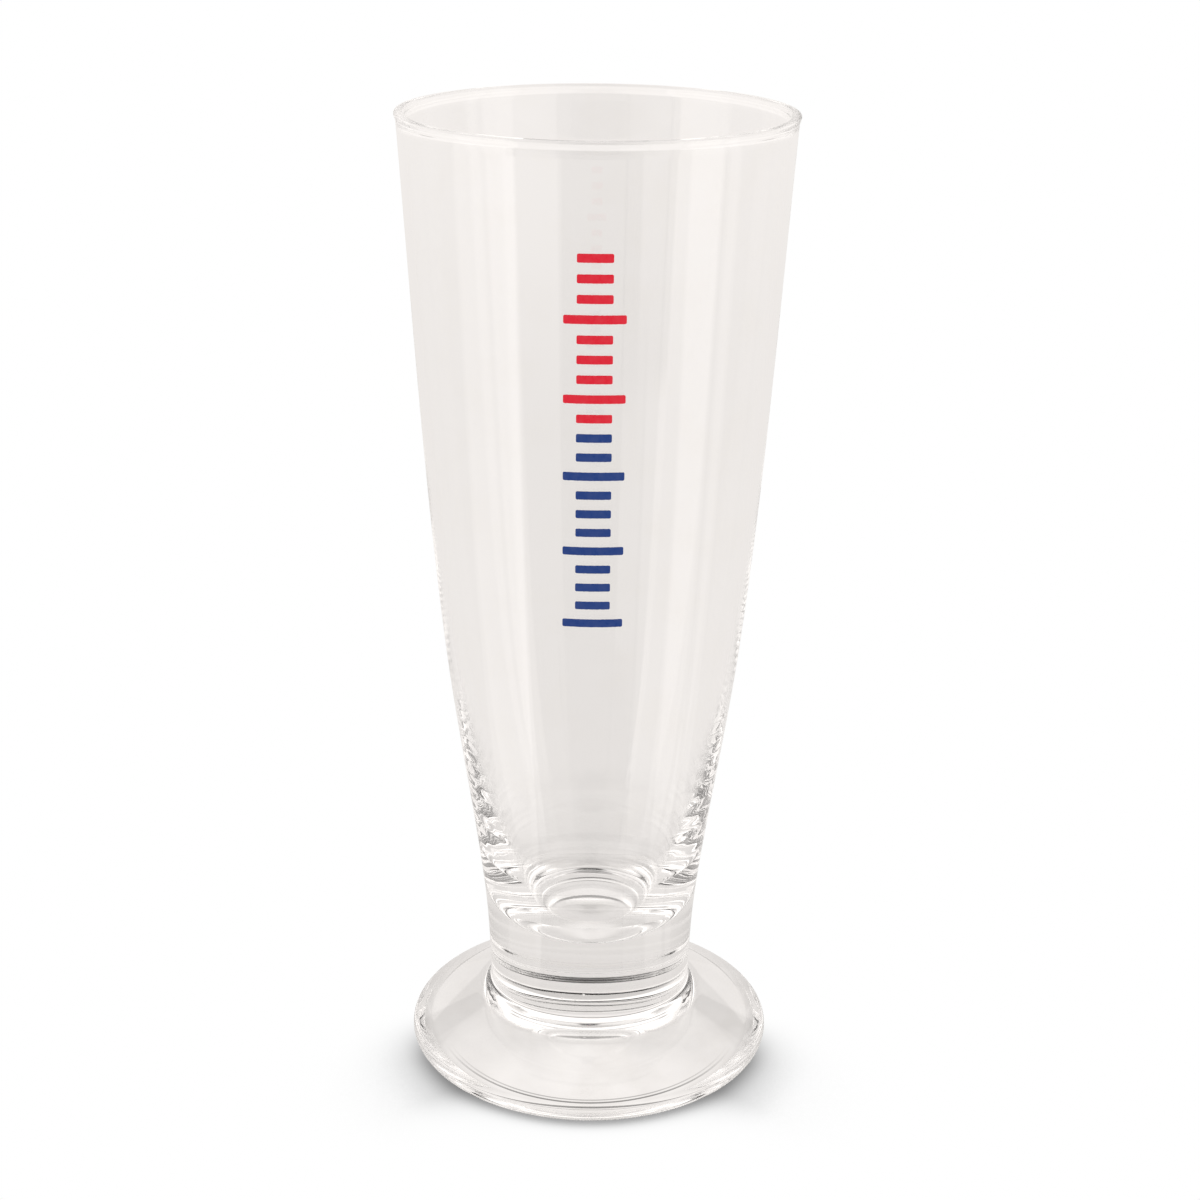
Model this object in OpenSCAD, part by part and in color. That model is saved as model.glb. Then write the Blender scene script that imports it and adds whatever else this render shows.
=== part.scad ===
// Footed pilsner glass: a tall flared bowl with a heavy solid base, fused to a pressed foot
// with a hollow underside. A two-colour fill scale is printed on the front of the bowl.
// Millimetres, +Z up. The origin is the centre of the ring on which the glass stands.

/* [Bowl outside] */
// Height of the glass from the table to the top of the lip
glass_h = 182; // [165:1:210]
// Outer diameter of the rounded lip
rim_d = 70; // [62:0.5:80]
// Height at which the lower cone turns into the slimmer upper cone
swell_h = 85; // [70:1:105]
// Outer diameter at the swell
swell_d = 55.3; // [50:0.1:60]
// Height of the waist, where the neck turns into the lower cone
waist_h = 34; // [28:0.5:38]
// Outer diameter at the waist
waist_d = 41.4; // [40:0.1:46]
// Outer diameter of the neck where the bowl meets the foot
neck_d = 39.1; // [36:0.1:41]

/* [Bowl inside] */
// Thickness of the wall just below the lip
rim_wall = 1.2; // [0.8:0.05:2]
// How far the fire-polished lip stands proud of the wall on each side
lip_proud = 0.25; // [0.05:0.05:0.4]
// Radius of the two rounded corners of the lip
lip_round = 0.4; // [0.2:0.05:0.6]
// Height over which the lip fades into the wall
lip_fade = 1.5; // [1:0.1:3]
// Thickness of the wall where the bottom curve begins
base_wall = 5.25; // [3:0.05:7]
// Height over which the extra thickness of the wall fades out
thinning_h = 19; // [12:0.5:26]
// Thickness of solid glass between the fused joint and the lowest point of the cavity
floor_t = 10.5; // [6:0.5:14]
// Height of the rounded bottom of the cavity
bottom_rise = 10.6; // [7:0.2:14]

/* [Foot] */
// How far the edge of the foot stands out past the lip
foot_reach = 0.1; // [-2:0.1:4]
// Thickness of the rounded edge of the foot
edge_t = 3.8; // [2.5:0.1:5]
// Clearance between the rounded edge and the table
edge_lift = 0.85; // [0.4:0.05:1.5]
// Distance from the edge of the foot in to the flat ring on which the glass stands
contact_inset = 3.5; // [2.6:0.1:6]
// Width of the flat ring on which the glass stands
contact_w = 1.4; // [0.8:0.1:3]
// Height at which the slope of the foot would meet the neck
slope_h = 11.2; // [9:0.1:14]
// Radius of the cove between the neck and the slope
cove_r = 5; // [2:0.1:7]
// Length of straight neck between the cove and the fused joint
neck_land = 1.5; // [0.5:0.1:4]
// Depth of the domed hollow under the foot
hollow_h = 6.5; // [2:0.1:8]

/* [Printed scale] */
// Distance from the top of the lip down to the top of the scale
scale_drop = 17.9; // [10:0.1:26]
// Height of each printed bar
bar_t = 1.5; // [0.8:0.1:2]
// Distance from one bar to the next
bar_pitch = 3.4; // [2.5:0.1:4]
// Length of a long bar, measured round the wall
long_bar = 10.4; // [6:0.2:14]
// Length of a short bar, measured round the wall
short_bar = 6; // [3:0.2:10]
// Thickness of the fired enamel
enamel_t = 0.1; // [0.05:0.01:0.2]
// Clearance between the glass and the enamel
enamel_gap = 0.08; // [0:0.01:0.1]
// Number of blue bars, counted from the bottom
blue_bars = 11; // [4:1:14]
// Number of red bars above the blue ones
red_bars = 9; // [4:1:12]
// Number of steps of the scale from one long bar to the next
long_bar_steps = 4; // [2:1:6]

/* [Hidden] */

// Smoothness of the turned surfaces and of the curves that they follow
$fn = 256;
curve_steps = 20;

// Lean of the outer wall, as radius gained for each unit of height
neck_lean_share = 0.03;
waist_lean_share = 0.115;
swell_lean_share = 0.108;
rim_lean_share = 0.066;

// Colours of the glass and of the two enamels
glass_rgba = [0.93, 0.92, 0.91, 0.35];
blue_rgb = [0.13, 0.24, 0.5];
red_rgb = [0.87, 0.12, 0.2];

// Foot: as wide as the lip and its own reach, with a rounded edge, a slope that leaves the edge,
// and a cove that runs into the neck
foot_d = rim_d + 2 * foot_reach;
neck_r = neck_d / 2;
edge_r = edge_t / 2;
edge_x = foot_d / 2 - edge_r;
edge_z = edge_lift + edge_r;
slope_a = grazing_a(edge_x - neck_r, slope_h - edge_z, edge_r);
slope_end = [edge_x + edge_r * sin(slope_a), edge_z + edge_r * cos(slope_a)];
cove_tangent = cove_r * tan((90 - slope_a) / 2);
cove_top = slope_h + cove_tangent;
joint_h = cove_top + neck_land;
contact_r = foot_d / 2 - contact_inset;
bevel_a = grazing_a(edge_x - contact_r, edge_z, edge_r);
bevel_end = [edge_x + edge_r * sin(bevel_a), edge_z - edge_r * cos(bevel_a)];
hollow_r = contact_r - contact_w;
dome_r = (hollow_r * hollow_r + hollow_h * hollow_h) / (2 * hollow_h);

// Bowl: heights and radii between which the walls are drawn
lip_h = glass_h - lip_round;
fade_h = glass_h - lip_fade;
rim_r = rim_d / 2 - lip_proud;
swell_r = swell_d / 2;
waist_r = waist_d / 2;
floor_h = joint_h + floor_t;
corner_h = floor_h + bottom_rise;
corner_r = outer_r(corner_h) - base_wall;

// Lip: the middle of its wall, the distance from there to the centre of each rounded corner, and the
// angles at which its sides fade into the wall
lip_x = rim_r - rim_wall / 2;
lip_corner_x = rim_wall / 2 + lip_proud - lip_round;
lip_outer_a = grazing_a(lip_x + lip_corner_x - outer_r(fade_h), lip_h - fade_h, lip_round);
lip_inner_a = grazing_a(outer_r(fade_h) - wall_t(fade_h) - lip_x + lip_corner_x, lip_h - fade_h, lip_round);

// Slope of the inner wall at the corner, and the power that carries it smoothly into the floor
corner_lean = outer_lean(corner_h) + (base_wall - rim_wall) / thinning_h;
bottom_power = corner_r / (bottom_rise * corner_lean);

// Printed scale: the number of bars, and the height of the lowest one, counted down from the lip
scale_bars = blue_bars + red_bars;
scale_base_h = glass_h - scale_drop - bar_t - bar_pitch * (scale_bars - 1);

// Angle of a line that starts this far from the centre of a rounded edge and grazes the edge
function grazing_a(run, rise, round_r) = atan2(rise, run) - asin(round_r / norm([run, rise]));

// Smooth curve of the radius from height z0 to z1, with the lean given at both ends
function blend(z, z0, r0, lean0, z1, r1, lean1) =
    let (span = z1 - z0, t = (z - z0) / span)
    r0 * (2 * t^3 - 3 * t^2 + 1)
    + lean0 * span * (t^3 - 2 * t^2 + t)
    + r1 * (3 * t^2 - 2 * t^3)
    + lean1 * span * (t^3 - t^2);

// Slope of that curve
function blend_lean(z, z0, r0, lean0, z1, r1, lean1) =
    let (span = z1 - z0, t = (z - z0) / span)
    (r1 - r0) / span * (6 * t - 6 * t^2)
    + lean0 * (3 * t^2 - 4 * t + 1)
    + lean1 * (3 * t^2 - 2 * t);

// Outer radius of the bowl at height z
function outer_r(z) =
    z < waist_h ? blend(z, joint_h, neck_r, neck_lean_share, waist_h, waist_r, waist_lean_share)
    : z < swell_h ? blend(z, waist_h, waist_r, waist_lean_share, swell_h, swell_r, swell_lean_share)
    : blend(z, swell_h, swell_r, swell_lean_share, lip_h, rim_r, rim_lean_share);

// Slope of the outer wall at height z
function outer_lean(z) =
    z < waist_h ? blend_lean(z, joint_h, neck_r, neck_lean_share, waist_h, waist_r, waist_lean_share)
    : z < swell_h ? blend_lean(z, waist_h, waist_r, waist_lean_share, swell_h, swell_r, swell_lean_share)
    : blend_lean(z, swell_h, swell_r, swell_lean_share, lip_h, rim_r, rim_lean_share);

// Thickness of the wall at height z: heavy at the base, thinning towards the lip
function wall_t(z) = rim_wall + (base_wall - rim_wall) * exp((corner_h - z) / thinning_h);

// Height of the cavity floor at radius r
function cavity_z(r) = floor_h + bottom_rise * (r / corner_r)^bottom_power;

// Heights spread evenly from z0 to z1, without the last one
function heights(z0, z1) = [for (i = [0 : curve_steps - 1]) z0 + (z1 - z0) * i / curve_steps];

// Outer wall from the joint to the foot of the lip, moved outwards by grow
function outer_wall(grow) = [
    for (z = concat(
        heights(joint_h, waist_h),
        heights(waist_h, swell_h),
        heights(swell_h, fade_h),
        [fade_h]
    ))
        [outer_r(z) + grow, z]
];

// Lip from the outer side over its nearly flat top to the inner side, with its corners still cut off
function lip_points() = [
    [lip_x + lip_corner_x + lip_round * sin(lip_outer_a), lip_h - lip_round * cos(lip_outer_a)],
    [lip_x + lip_corner_x, glass_h],
    [lip_x - lip_corner_x, glass_h],
    [lip_x - lip_corner_x - lip_round * sin(lip_inner_a), lip_h - lip_round * cos(lip_inner_a)]
];

// Inner wall from the lip down to the corner, then the rounded floor to the axis
function inner_wall() = concat(
    [for (z = concat(heights(fade_h, swell_h), heights(swell_h, corner_h))) [outer_r(z) - wall_t(z), z]],
    [for (i = [curve_steps : -1 : 0]) let (r = corner_r * i / curve_steps) [r, cavity_z(r)]]
);

// Section of the bowl as if it were solid, moved outwards by grow
module full_section(grow) {
    polygon(concat([[0, joint_h]], outer_wall(grow), [[0, fade_h]]));
}

// Section of the bowl: the walls and floor, closed by the lip with its two rounded corners
module bowl_section() {
    polygon(concat([[0, joint_h]], outer_wall(0), lip_points(), inner_wall()));
    translate([lip_x + lip_corner_x, lip_h])
        circle(r = lip_round);
    translate([lip_x - lip_corner_x, lip_h])
        circle(r = lip_round);
}

// Section of the foot: disc, rounded edge, slope and neck, with the dome and the cove cut away
module foot_section() {
    cove_centre = [neck_r + cove_r, cove_top];
    slope_tangent = [neck_r + cove_tangent * cos(slope_a), slope_h - cove_tangent * sin(slope_a)];
    difference() {
        union() {
            polygon([
                [0, 0],
                [contact_r, 0],
                bevel_end,
                slope_end,
                slope_tangent,
                cove_centre,
                [neck_r, cove_top],
                [neck_r, joint_h],
                [0, joint_h]
            ]);
            translate([edge_x, edge_z])
                circle(r = edge_r);
        }
        translate(cove_centre)
            circle(r = cove_r);
        translate([0, hollow_h - dome_r])
            circle(r = dome_r);
    }
}

// One printed bar on the front of the bowl, counted from the bottom of the scale
module bar(i) {
    bar_z = scale_base_h + bar_pitch * i;
    length = i % long_bar_steps == 0 ? long_bar : short_bar;
    sweep_a = length / outer_r(bar_z) * 180 / PI;
    rotate([0, 0, -90 - sweep_a / 2])
        rotate_extrude(angle = sweep_a)
            intersection() {
                difference() {
                    full_section(enamel_gap + enamel_t);
                    full_section(enamel_gap);
                }
                translate([0, bar_z])
                    square([rim_d, bar_t]);
            }
}

// Blown bowl with its solid base
module bowl() {
    color(glass_rgba)
        rotate_extrude()
            bowl_section();
}

// Pressed foot with the lower part of the neck
module foot() {
    color(glass_rgba)
        rotate_extrude()
            foot_section();
}

// Lower, blue half of the printed scale
module blue_scale() {
    color(blue_rgb)
        for (i = [0 : blue_bars - 1])
            bar(i);
}

// Upper, red half of the printed scale
module red_scale() {
    color(red_rgb)
        for (i = [blue_bars : scale_bars - 1])
            bar(i);
}

bowl();
foot();
blue_scale();
red_scale();
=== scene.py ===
"""Looks of a footed pilsner glass with a two-colour printed scale.

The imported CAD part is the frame. The bowl and the foot are turned here from named sizes in
millimetres, seated in the boxes of the CAD nodes that they stand for, and given a procedural
glass. The bars of the scale are laid on the wall as raised enamel. A pale studio with soft strip
lamps and a camera complete the scene.
"""

import logging
import math
from dataclasses import dataclass, field
from enum import Enum, IntEnum
from typing import Iterable, Mapping, Optional, Union

import bpy
import numpy as np
from mathutils import Euler, Matrix, Vector


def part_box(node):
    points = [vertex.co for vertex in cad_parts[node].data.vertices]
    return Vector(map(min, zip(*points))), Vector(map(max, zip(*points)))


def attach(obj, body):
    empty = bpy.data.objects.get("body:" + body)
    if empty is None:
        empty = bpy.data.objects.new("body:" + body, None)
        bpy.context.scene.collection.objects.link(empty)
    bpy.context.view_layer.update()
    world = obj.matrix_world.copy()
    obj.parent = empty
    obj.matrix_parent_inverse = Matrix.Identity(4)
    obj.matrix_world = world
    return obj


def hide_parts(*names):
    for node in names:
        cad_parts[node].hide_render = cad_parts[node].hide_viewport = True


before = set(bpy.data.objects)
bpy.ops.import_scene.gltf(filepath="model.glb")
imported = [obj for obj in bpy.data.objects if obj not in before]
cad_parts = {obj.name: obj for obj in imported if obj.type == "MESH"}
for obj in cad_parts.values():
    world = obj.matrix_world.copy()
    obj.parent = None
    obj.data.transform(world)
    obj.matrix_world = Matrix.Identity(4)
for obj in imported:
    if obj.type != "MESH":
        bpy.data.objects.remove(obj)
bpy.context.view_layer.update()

MM = 0.001
LOG = logging.getLogger("pilsner_glass")

Pair = tuple[float, float]
Triple = tuple[float, float, float]
Colour = Triple
Value = Union["Socket", float, Triple]


class Ray(Enum):
    """Kinds of ray that a finish of the studio answers in its own way."""

    CAMERA = "Is Camera Ray"
    GLOSSY = "Is Glossy Ray"
    TRANSMITTED = "Is Transmission Ray"


class Ink(Enum):
    """Enamel colours of the scale, as linear red, green and blue."""

    BLUE = (0.0152, 0.0482, 0.2122)
    RED = (0.7379, 0.0137, 0.0343)


class Bar(Enum):
    """Lengths of a bar of the scale in millimetres, measured round the wall."""

    LONG = 10.4
    SHORT = 6.0


class Skin(IntEnum):
    """Material slots of a turned piece."""

    GLASS = 0
    JOINT = 1


class Socket:
    """A node socket that takes part in sums: each operator adds a Math node."""

    def __init__(self, graph: "Graph", socket: bpy.types.NodeSocket) -> None:
        """Keeps the graph and the socket that this stands for."""
        self.graph = graph
        self.socket = socket

    def math(self, operation: str, *others: Value) -> "Socket":
        """Adds a Math node with this socket first.

        Args:
            operation: Name of the Math node's operation.
            others: Further operands, as sockets or numbers.

        Returns:
            The node's result.
        """
        operands = dict(enumerate((self, *others)))
        return self.graph.add("ShaderNodeMath", {"operation": operation}, operands)

    def after(self, operation: str, first: Value) -> "Socket":
        """Adds a Math node with this socket second.

        Args:
            operation: Name of the Math node's operation.
            first: The first operand.

        Returns:
            The node's result.
        """
        return self.graph.add("ShaderNodeMath", {"operation": operation}, {0: first, 1: self})

    def __add__(self, other: Value) -> "Socket":
        """This plus the other."""
        return self.math("ADD", other)

    def __radd__(self, other: Value) -> "Socket":
        """The other plus this."""
        return self.after("ADD", other)

    def __sub__(self, other: Value) -> "Socket":
        """This minus the other."""
        return self.math("SUBTRACT", other)

    def __rsub__(self, other: Value) -> "Socket":
        """The other minus this."""
        return self.after("SUBTRACT", other)

    def __mul__(self, other: Value) -> "Socket":
        """This times the other."""
        return self.math("MULTIPLY", other)

    def __rmul__(self, other: Value) -> "Socket":
        """The other times this."""
        return self.after("MULTIPLY", other)

    def __truediv__(self, other: Value) -> "Socket":
        """This over the other."""
        return self.math("DIVIDE", other)

    def __rtruediv__(self, other: Value) -> "Socket":
        """The other over this."""
        return self.after("DIVIDE", other)

    def __pow__(self, other: Value) -> "Socket":
        """This raised to the other."""
        return self.math("POWER", other)

    def __rpow__(self, other: Value) -> "Socket":
        """The other raised to this."""
        return self.after("POWER", other)

    def __neg__(self) -> "Socket":
        """This with its sign turned."""
        return self.math("MULTIPLY", -1.0)

    def output(self, name: str) -> "Socket":
        """Another output of the same node."""
        return Socket(self.graph, self.socket.node.outputs[name])

    def step(self, low: float, high: float) -> "Socket":
        """Eases from 0 at the low value to 1 at the high one.

        Args:
            low: Value at which the result leaves 0.
            high: Value at which the result reaches 1.

        Returns:
            The eased value.
        """
        return self.graph.add(
            "ShaderNodeMapRange",
            {"interpolation_type": "SMOOTHSTEP"},
            {"Value": self, "From Min": low, "From Max": high},
        )

    def window(self, low: float, high: float, soft: float) -> "Socket":
        """Is 1 between two values and fades to 0 outside them.

        Args:
            low: Start of the window.
            high: End of the window.
            soft: Width over which each side fades.

        Returns:
            The window's value.
        """
        return self.step(low - soft, low) * (1.0 - self.step(high, high + soft))


class Graph:
    """One node tree, filled by a single method that makes a node of any type."""

    def __init__(self, owner: Union[bpy.types.Material, bpy.types.World]) -> None:
        """Empties the node tree of a material or world."""
        owner.use_nodes = True
        self.tree = owner.node_tree
        self.tree.nodes.clear()

    def add(
        self,
        kind: str,
        settings: Optional[Mapping[str, object]] = None,
        inputs: Optional[Mapping[Union[str, int], Value]] = None,
        output: Union[str, int] = 0,
    ) -> Optional[Socket]:
        """Makes one node.

        Args:
            kind: Blender's name for the node's type.
            settings: Properties of the node.
            inputs: Numbers, colours or sockets for the node's inputs, by name or place.
            output: The output to return, by name or place.

        Returns:
            That output, or None for a node that has none.
        """
        node = self.tree.nodes.new(kind)
        for name, value in (settings or {}).items():
            setattr(node, name, value)
        for key, value in (inputs or {}).items():
            target = node.inputs[key]
            if isinstance(value, Socket):
                self.tree.links.new(value.socket, target)
            elif isinstance(value, tuple) and target.type == "RGBA":
                target.default_value = (*value, 1.0)
            else:
                target.default_value = value
        return Socket(self, node.outputs[output]) if len(node.outputs) else None

    def axes(self, vector: Socket) -> tuple[Socket, Socket, Socket]:
        """Splits a vector into its three parts."""
        first = self.add("ShaderNodeSeparateXYZ", inputs={0: vector})
        return first.output("X"), first.output("Y"), first.output("Z")

    def join(self, x: Value, y: Value, z: Value) -> Socket:
        """Joins three values into a vector."""
        return self.add("ShaderNodeCombineXYZ", inputs={0: x, 1: y, 2: z})

    def stretch(self, vector: Socket, factors: Triple) -> Socket:
        """Multiplies a vector by a factor along each axis."""
        return self.add("ShaderNodeVectorMath", {"operation": "MULTIPLY"}, {0: vector, 1: factors})

    def blend(self, share: Value, first: Value, second: Value, how: str = "MIX") -> Socket:
        """Mixes two colours.

        Args:
            share: Share of the second colour.
            first: The first colour.
            second: The second colour.
            how: Name of the Mix node's way of mixing.

        Returns:
            The mixed colour.
        """
        settings = {"data_type": "RGBA", "blend_type": how}
        factor, colour_a, colour_b, result = 0, 6, 7, 2
        inputs = {factor: share, colour_a: first, colour_b: second}
        return self.add("ShaderNodeMix", settings, inputs, result)

    def noise(self, vector: Socket, scale: float = 1.0, detail: float = 3.0) -> Socket:
        """Fractal noise about 0.5.

        Args:
            vector: Place at which the noise is read.
            scale: Lumps for each unit of length.
            detail: Number of finer layers.

        Returns:
            The noise's value.
        """
        inputs = {"Vector": vector, "Scale": scale, "Detail": detail}
        return self.add("ShaderNodeTexNoise", inputs=inputs, output="Fac")

    def bump(self, height: Socket, depth: float) -> Socket:
        """Normal of a skin with a relief of this depth in metres."""
        inputs = {"Strength": 1.0, "Distance": depth, "Height": height}
        return self.add("ShaderNodeBump", inputs=inputs)

    def ray(self, kind: Ray) -> Socket:
        """Is 1 where the ray that looks is of one kind."""
        return self.add("ShaderNodeLightPath", output=kind.value)

    def by_glass(self) -> Socket:
        """Is 1 where the ray that looks comes from a gloss or through glass."""
        return self.ray(Ray.GLOSSY).math("MAXIMUM", self.ray(Ray.TRANSMITTED))


@dataclass(frozen=True)
class ClearGlass:
    """Clear soda-lime glass with faint streaks, wipe marks and a worn ring where it stands.

    Attributes:
        name: Name of the material.
        ior: Refractive index.
        clear: Colour of the cleanest glass.
        tinted: Colour of the faintly warmer patches.
        heavy: Colour by which the thick glass near the foot is darker.
        heavy_h: Heights in metres between which that fades.
        drift_scale: Warmer patches for each metre.
        drift_from: Values of the noise at which they begin and are full.
        cord_depth: Depth in metres of the drawn streaks that run up the wall.
        cord_scale: Streaks for each radius of the wall.
        cord_climb: Rate at which they change up the wall.
        wipe_rough: Roughness of the faint wipe marks.
        wipe_grain: Wipe marks for each metre along each axis.
        wipe_from: Values of the noise at which they begin and are full.
        wear_rough: Roughness of the scuffed ring.
        wear_h: Height in metres up to which the ring is scuffed.
        scuff_grain: Scuffs for each metre along each axis.
        scuff_detail: Finer layers of the scuffs.
    """

    name: str
    ior: float = 1.52
    clear: Colour = (1.0, 1.0, 1.0)
    tinted: Colour = (0.992, 0.99, 0.985)
    heavy: Colour = (0.962, 0.96, 0.955)
    heavy_h: Pair = (0.02, 0.028)
    drift_scale: float = 110.0
    drift_from: Pair = (0.45, 0.75)
    cord_depth: float = 4e-6
    cord_scale: float = 9.0
    cord_climb: float = 1.5
    wipe_rough: float = 0.01
    wipe_grain: Triple = (60.0, 60.0, 22.0)
    wipe_from: Pair = (0.52, 0.7)
    wear_rough: float = 0.06
    wear_h: float = 0.06e-3
    scuff_grain: Triple = (2600.0, 700.0, 1.0)
    scuff_detail: float = 4.0

    def material(self) -> bpy.types.Material:
        """Makes the material."""
        made = bpy.data.materials.new(self.name)
        graph = Graph(made)
        place = graph.add("ShaderNodeTexCoord", output="Object")
        x, y, z = graph.axes(place)
        radius = (x * x + y * y) ** 0.5 + MM
        round_wall = graph.join(x / radius, y / radius, z * self.cord_climb)
        cords = graph.noise(round_wall, self.cord_scale)
        drift = graph.noise(place, self.drift_scale).step(*self.drift_from)
        scuffs = graph.noise(graph.stretch(place, self.scuff_grain), detail=self.scuff_detail)
        wipes = graph.noise(graph.stretch(place, self.wipe_grain)).step(*self.wipe_from)
        worn = (1.0 - z.step(0.0, self.wear_h)) * (0.5 + scuffs)
        rough = worn * self.wear_rough + wipes * self.wipe_rough
        thick = 1.0 - z.step(*self.heavy_h)
        drawn = graph.blend(drift, self.clear, self.tinted)
        tone = graph.blend(thick, drawn, self.heavy, "MULTIPLY")
        shader = graph.add(
            "ShaderNodeBsdfPrincipled",
            inputs={
                "Base Color": tone,
                "Roughness": rough,
                "IOR": self.ior,
                "Transmission Weight": 1.0,
                "Normal": graph.bump(cords, self.cord_depth),
            },
        )
        graph.add("ShaderNodeOutputMaterial", inputs={"Surface": shader})
        return made


@dataclass(frozen=True)
class FusedJoint:
    """The melt between two pieces of glass, at which light passes on without a bend."""

    name: str = "fused_joint"

    def material(self) -> bpy.types.Material:
        """Makes the material."""
        made = bpy.data.materials.new(self.name)
        graph = Graph(made)
        shader = graph.add("ShaderNodeBsdfTransparent", inputs={"Color": (1.0, 1.0, 1.0)})
        graph.add("ShaderNodeOutputMaterial", inputs={"Surface": shader})
        return made


@dataclass(frozen=True)
class FiredEnamel:
    """Screen-printed enamel with a satin gloss, a faint mottle and pinholes.

    Attributes:
        name: Name of the material.
        ink: Colour of the enamel.
        pale: Share of white in the thinnest enamel.
        mottle: How far thin spots lean towards that paler colour.
        mottle_scale: Thin spots for each metre.
        mottle_from: Values of the noise at which they begin and are full.
        pinholes: How far the pinholes lean towards the paler colour.
        pinhole_from: Values of the grain at which they begin and are full.
        gloss: Mean roughness.
        gloss_drift: Change of the roughness over the mottle.
        sheen: Strength of the surface's mirror.
        grain: Depth in metres of the fired grain.
        grain_scale: Grains for each metre.
        grain_detail: Finer layers of the grain.
    """

    name: str
    ink: Ink
    pale: float = 0.5
    mottle: float = 0.025
    mottle_scale: float = 900.0
    mottle_from: Pair = (0.4, 0.75)
    pinholes: float = 0.05
    pinhole_from: Pair = (0.66, 0.76)
    gloss: float = 0.3
    gloss_drift: float = 0.3
    sheen: float = 0.25
    grain: float = 5e-6
    grain_scale: float = 7000.0
    grain_detail: float = 2.0

    def material(self) -> bpy.types.Material:
        """Makes the material."""
        made = bpy.data.materials.new(self.name)
        graph = Graph(made)
        place = graph.add("ShaderNodeTexCoord", output="Object")
        cloud = graph.noise(place, self.mottle_scale)
        grain = graph.noise(place, self.grain_scale, self.grain_detail)
        thin = cloud.step(*self.mottle_from) * self.mottle + grain.step(*self.pinhole_from) * self.pinholes
        pale = tuple(self.pale + (1.0 - self.pale) * part for part in self.ink.value)
        shader = graph.add(
            "ShaderNodeBsdfPrincipled",
            inputs={
                "Base Color": graph.blend(thin, self.ink.value, pale),
                "Roughness": self.gloss + (cloud - 0.5) * self.gloss_drift,
                "Specular IOR Level": self.sheen,
                "Normal": graph.bump(grain + cloud, self.grain),
            },
        )
        graph.add("ShaderNodeOutputMaterial", inputs={"Surface": shader})
        return made


@dataclass(frozen=True)
class Zone:
    """A part of the room that is lighter or darker than the rest.

    Attributes:
        span: Directions in degrees between which it lies, from the camera's side to the right.
        change: Brightness that it adds to the room.
        soft: Width in degrees over which each side fades.
        begin: Radii in metres over which it sets in on the table.
        end: Radii in metres over which it ends, or None where it goes on up the walls of the room.
    """

    span: Pair
    change: float
    soft: float = 1.5
    begin: Pair = (0.04, 0.055)
    end: Optional[Pair] = None

    def on_walls(self, bearing: Socket) -> Socket:
        """Brightness that it adds to the room in a direction."""
        return bearing.window(*self.span, self.soft) * self.change

    def on_table(self, bearing: Socket, radius: Socket) -> Socket:
        """Brightness that it adds to a place on the table, as painted light or painted shade by the sign of
        its change.

        Args:
            bearing: Direction of the place in degrees.
            radius: Distance of the place from the axis in metres.

        Returns:
            The change there.
        """
        part = self.on_walls(bearing) * radius.step(*self.begin)
        return part * (1.0 - radius.step(*self.end)) if self.end else part


@dataclass(frozen=True)
class Surroundings:
    """What the glass shows of the room, shared by the table and the walls.

    Attributes:
        tint: Colour of the room at a brightness of 1.
        zones: Lit and dim parts of the room.
    """

    tint: Colour = (1.034, 0.994, 0.965)
    zones: tuple[Zone, ...] = (
        Zone((-47.0, 31.0), -0.42, end=(0.28, 0.55)),
        Zone((31.0, 55.0), -0.22, end=(0.28, 0.55)),
        Zone((-19.0, 25.0), -0.42, begin=(0.28, 0.55)),
        Zone((-88.0, -48.0), 0.36),
        Zone((-53.0, -48.0), 0.25),
        Zone((55.0, 75.0), 0.42),
        Zone((81.0, 88.0), 0.32),
        Zone((-47.0, -19.0), -0.4, begin=(0.8, 1.0)),
        Zone((-52.0, -47.5), -0.9, begin=(0.8, 1.0)),
    )

    def bearing(self, x: Socket, y: Socket) -> Socket:
        """Direction in degrees of a place, from the camera's side to the right."""
        return x.math("ARCTAN2", -y) * math.degrees(1.0)

    def on_table(self, bearing: Socket, radius: Socket) -> Socket:
        """Painted light and shade that the zones add to a place on the table.

        Args:
            bearing: Direction of the place in degrees.
            radius: Distance of the place from the axis in metres.

        Returns:
            The sum of their changes.
        """
        first, *others = (zone.on_table(bearing, radius) for zone in self.zones)
        return sum(others, first)

    def on_walls(self, bearing: Socket) -> Socket:
        """Brightness that the zones add to the foot of the room's walls in a direction."""
        first, *others = (zone.on_walls(bearing) for zone in self.zones if zone.end is None)
        return sum(others, first)

    def colour(self, graph: Graph, brightness: Socket) -> Socket:
        """Colour of a part of the room.

        Args:
            graph: Node tree that takes the nodes.
            brightness: Brightness of that part.

        Returns:
            The tint at that brightness.
        """
        return graph.add("ShaderNodeVectorMath", {"operation": "SCALE"}, {0: self.tint, "Scale": brightness})


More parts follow.
